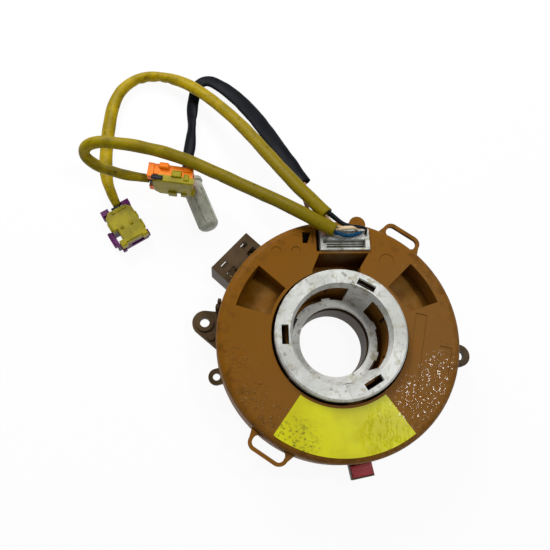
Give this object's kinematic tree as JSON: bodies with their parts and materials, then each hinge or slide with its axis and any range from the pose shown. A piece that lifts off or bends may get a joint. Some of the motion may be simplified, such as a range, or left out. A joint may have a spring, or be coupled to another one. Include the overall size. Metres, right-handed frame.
{
  "type": "steering clock spring",
  "caption": "Round steering clock spring: rotor cover with sprung hub ring and sleeved leads turning on a rear housing with fixing ears and a connector.",
  "frame": {"origin": "on the steering column axis at the rear face of the housing", "axes": "+Z along the column axis towards the driver, +Y through the wire header, +X to the right as the driver sees it"},
  "size_m": [0.1773, 0.2047, 0.0403],
  "materials": {
    "brown_housing": "moulded, satin",
    "contact_metal": "plated",
    "slip_film": "smooth film",
    "spring_steel": "drawn wire",
    "natural_insert": "moulded",
    "red_tab": "moulded, worn",
    "orange_cover": "moulded, greasy",
    "ribbon_film": "laminated film",
    "white_ring": "moulded, grimy",
    "yellow_sticker": "printed film, bare",
    "white_header": "moulded",
    "yellow_sleeve": "extruded sleeve",
    "black_sleeve": "heat-shrink sleeve",
    "blue_wire": "extruded",
    "tan_wire": "extruded",
    "dark_wire": "extruded",
    "green_wire": "extruded",
    "rose_wire": "extruded",
    "purple_plug": "moulded",
    "yellow_plug": "moulded",
    "ferrite": "pressed",
    "orange_plug": "moulded",
    "grey_plug": "moulded"
  },
  "bodies": {
    "stator": {"rear_housing": "brown_housing", "rear_connector_pins": "contact_metal", "lower_slip_sheet": "slip_film", "retaining_clip": "spring_steel", "stator_terminal_block": "natural_insert"},
    "red_tab": {"red_tab": "red_tab"},
    "rotor": {"rotor_cover": "orange_cover", "winding_drum": "orange_cover", "hub_sleeve": "orange_cover", "upper_slip_sheet": "slip_film", "rotor_terminal_block": "natural_insert", "ribbon_cable": "ribbon_film", "lock_spring": "spring_steel", "cover_sticker": "yellow_sticker", "wire_header": "white_header", "header_pins": "contact_metal", "yellow_sleeve_purple": "yellow_sleeve", "yellow_sleeve_orange": "yellow_sleeve", "black_sleeve": "black_sleeve", "blue_wire": "blue_wire", "tan_wire": "tan_wire", "dark_wire": "dark_wire", "green_wire": "green_wire", "rose_wire": "rose_wire", "purple_plug_housing": "purple_plug", "purple_plug_cover": "yellow_plug", "purple_plug_ferrite": "ferrite", "purple_plug_contacts": "contact_metal", "orange_plug_housing": "orange_plug", "orange_plug_cover": "yellow_plug", "orange_plug_ferrite": "ferrite", "orange_plug_contacts": "contact_metal", "grey_plug_body": "grey_plug", "grey_plug_collar": "grey_plug", "grey_plug_contact": "contact_metal"},
    "lock_ring": {"lock_ring": "white_ring"}
  },
  "joints": [
    {"name": "rotor_turn", "type": "hinge", "parent": "stator", "child": "rotor", "pos_m": [0, 0, 0], "axis": [0, 0, 1], "range_deg": [-900, 900], "deforming": ["ribbon_cable"]},
    {"name": "lock_ring_press", "type": "slide", "parent": "rotor", "child": "lock_ring", "axis": [0, 0, 1], "range_m": [-0.0025, 0], "stiffness_N_per_m": 600, "springref_m": 0.008, "deforming": ["lock_spring"]},
    {"name": "red_tab_lift", "type": "slide", "parent": "stator", "child": "red_tab", "axis": [0, 0, 1], "range_m": [0, 0.003]}
  ]
}
